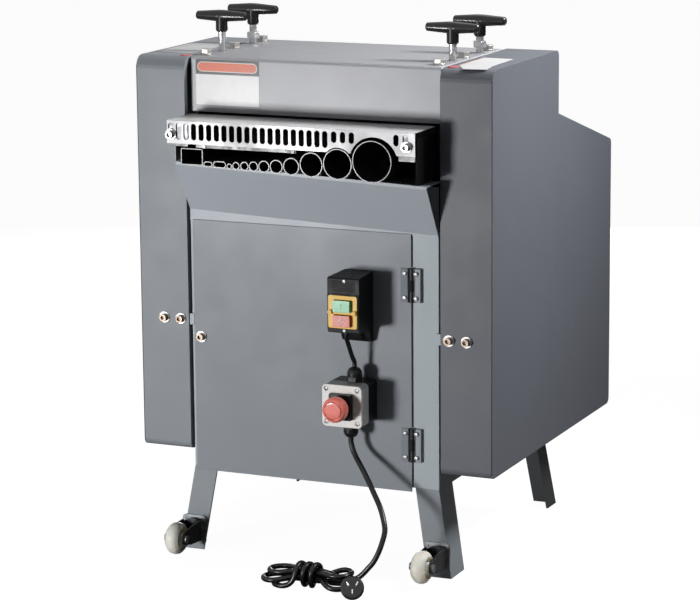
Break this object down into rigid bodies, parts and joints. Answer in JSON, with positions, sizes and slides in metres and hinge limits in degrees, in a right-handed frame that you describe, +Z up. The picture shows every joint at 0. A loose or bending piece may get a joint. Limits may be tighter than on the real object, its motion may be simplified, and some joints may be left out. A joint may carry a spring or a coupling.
{
  "type": "cable stripping machine",
  "caption": "Floor-standing cable stripping machine: slotted guard over a row of feed tubes, T-handle adjusters, door with switches, splayed legs with casters.",
  "frame": {"origin": "middle of the machine's box, on the floor", "axes": "+X to the right seen from the front, +Y to the back, +Z up"},
  "size_m": [0.6, 0.7412, 0.8593],
  "materials": {
    "panel_paint": "satin grey paint",
    "top_paint": "glossy grey paint",
    "black_paint": "semi-gloss black",
    "zinc_steel": "zinc plated",
    "polished_steel": "polished",
    "shaft_steel": "ground",
    "nylon": "cream, moulded",
    "black_plastic": "moulded",
    "light_plastic": "moulded",
    "yellow_plastic": "moulded",
    "green_plastic": "moulded",
    "red_plastic": "moulded",
    "belt_rubber": "matt",
    "cord_rubber": "satin",
    "machine_paint": "painted castings"
  },
  "bodies": {
    "base": {"front_frame": "panel_paint", "cabinet": "panel_paint", "legs_front": "panel_paint", "legs_rear": "panel_paint", "side_plates": "black_paint", "cap_bars": "black_paint", "bolts": "zinc_steel", "top_cover": "top_paint", "cover_left": "panel_paint", "cover_right": "panel_paint", "feed_box": "black_paint", "chute_panel": "panel_paint", "guard": "polished_steel", "guard_fixings": "zinc_steel", "flat_tubes": "black_paint", "round_tubes": "black_paint", "caster_brackets": "zinc_steel", "hinge_leaves": "panel_paint", "outlet_chute": "panel_paint", "motor": "machine_paint", "gearbox": "machine_paint", "bearings": "shaft_steel", "drive_belt": "belt_rubber"},
    "door": {"door_panel": "panel_paint", "door_leaves": "panel_paint", "latch_bolt": "zinc_steel", "switch_box": "black_plastic", "switch_plate": "yellow_plastic", "stop_base": "black_plastic", "stop_cover": "light_plastic", "link_cable": "cord_rubber", "mains_cord": "cord_rubber", "cord_hank": "cord_rubber", "plug": "cord_rubber"},
    "green_button": {"green_button": "green_plastic"},
    "red_button": {"red_button": "red_plastic"},
    "stop_push": {"stop_stem": "black_plastic"},
    "stop_twist": {"stop_head": "red_plastic"},
    "wheel_left": {"wheel_left": "nylon"},
    "wheel_right": {"wheel_right": "nylon"},
    "rear_roll": {"rear_roller": "shaft_steel", "rear_gear": "shaft_steel", "shaft_pulley": "machine_paint"},
    "front_roll": {"front_roller": "shaft_steel", "front_gear": "shaft_steel"},
    "idler": {"idler_gear": "shaft_steel"},
    "motor_shaft": {"motor_pulley": "machine_paint"},
    "front_carriage": {"front_blocks": "shaft_steel"},
    "rear_carriage": {"rear_blocks": "shaft_steel"},
    "feed_roll": {"upper_roller": "shaft_steel"},
    "blade_roll": {"blade_shaft": "shaft_steel", "blades": "shaft_steel"},
    "screw_front_left": {"grip_front_left": "black_paint", "spindle_front_left": "shaft_steel"},
    "screw_front_right": {"grip_front_right": "black_paint", "spindle_front_right": "shaft_steel"},
    "screw_rear_left": {"grip_rear_left": "black_paint", "spindle_rear_left": "shaft_steel"},
    "screw_rear_right": {"grip_rear_right": "black_paint", "spindle_rear_right": "shaft_steel"}
  },
  "joints": [
    {"name": "door_hinge", "type": "hinge", "parent": "base", "child": "door", "pos_m": [0.168, -0.23025, 0.33], "axis": [0, 0, 1], "range_deg": [0, 100]},
    {"name": "green_button_push", "type": "slide", "parent": "door", "child": "green_button", "axis": [0, 1, 0], "range_m": [0, 0.003], "stiffness_N_per_m": 900},
    {"name": "red_button_push", "type": "slide", "parent": "door", "child": "red_button", "axis": [0, 1, 0], "range_m": [0, 0.003], "stiffness_N_per_m": 900},
    {"name": "stop_press", "type": "slide", "parent": "door", "child": "stop_push", "axis": [0, 1, 0], "range_m": [0, 0.004], "stiffness_N_per_m": 1500},
    {"name": "stop_release", "type": "hinge", "parent": "stop_push", "child": "stop_twist", "pos_m": [0.076, -0.30525, 0.274], "axis": [0, 1, 0], "range_deg": [0, 45], "stiffness_Nm_per_rad": 0.05},
    {"name": "caster_left", "type": "hinge", "parent": "base", "child": "wheel_left", "pos_m": [-0.211, -0.29625, 0.034], "axis": [1, 0, 0], "continuous": true},
    {"name": "caster_right", "type": "hinge", "parent": "base", "child": "wheel_right", "pos_m": [0.211, -0.29625, 0.034], "axis": [1, 0, 0], "continuous": true},
    {"name": "rear_shaft", "type": "hinge", "parent": "base", "child": "rear_roll", "pos_m": [0, -0.01825, 0.586], "axis": [1, 0, 0], "continuous": true},
    {"name": "front_shaft", "type": "hinge", "parent": "base", "child": "front_roll", "pos_m": [0, -0.13225, 0.586], "axis": [1, 0, 0], "continuous": true},
    {"name": "idler_shaft", "type": "hinge", "parent": "base", "child": "idler", "pos_m": [0.219, -0.07525, 0.586], "axis": [1, 0, 0], "continuous": true},
    {"name": "motor_output", "type": "hinge", "parent": "base", "child": "motor_shaft", "pos_m": [0.2, 0.09975, 0.24], "axis": [1, 0, 0], "continuous": true},
    {"name": "front_lift", "type": "slide", "parent": "base", "child": "front_carriage", "axis": [0, 0, 1], "range_m": [0, 0.057]},
    {"name": "rear_lift", "type": "slide", "parent": "base", "child": "rear_carriage", "axis": [0, 0, 1], "range_m": [0, 0.057]},
    {"name": "feed_spin", "type": "hinge", "parent": "front_carriage", "child": "feed_roll", "pos_m": [0, -0.13225, 0.655], "axis": [1, 0, 0], "continuous": true},
    {"name": "blade_spin", "type": "hinge", "parent": "rear_carriage", "child": "blade_roll", "pos_m": [0, -0.01825, 0.655], "axis": [1, 0, 0], "continuous": true},
    {"name": "handle_front_left", "type": "hinge", "parent": "front_carriage", "child": "screw_front_left", "pos_m": [-0.197, -0.13225, 0.8], "axis": [0, 0, 1], "range_deg": [0, 6841]},
    {"name": "handle_front_right", "type": "hinge", "parent": "front_carriage", "child": "screw_front_right", "pos_m": [0.197, -0.13225, 0.8], "axis": [0, 0, 1], "range_deg": [0, 6841]},
    {"name": "handle_rear_left", "type": "hinge", "parent": "rear_carriage", "child": "screw_rear_left", "pos_m": [-0.197, -0.01825, 0.8], "axis": [0, 0, 1], "range_deg": [0, 6841]},
    {"name": "handle_rear_right", "type": "hinge", "parent": "rear_carriage", "child": "screw_rear_right", "pos_m": [0.197, -0.01825, 0.8], "axis": [0, 0, 1], "range_deg": [0, 6841]}
  ],
  "couplings": [
    {"joint": "front_shaft", "follows": "rear_shaft", "ratio": 1},
    {"joint": "idler_shaft", "follows": "rear_shaft", "ratio": -2},
    {"joint": "motor_output", "follows": "rear_shaft", "ratio": 1.6667},
    {"joint": "handle_front_left", "follows": "front_lift", "rad_per_m": 2094.4},
    {"joint": "handle_front_right", "follows": "front_lift", "rad_per_m": 2094.4},
    {"joint": "handle_rear_left", "follows": "rear_lift", "rad_per_m": 2094.4},
    {"joint": "handle_rear_right", "follows": "rear_lift", "rad_per_m": 2094.4}
  ]
}
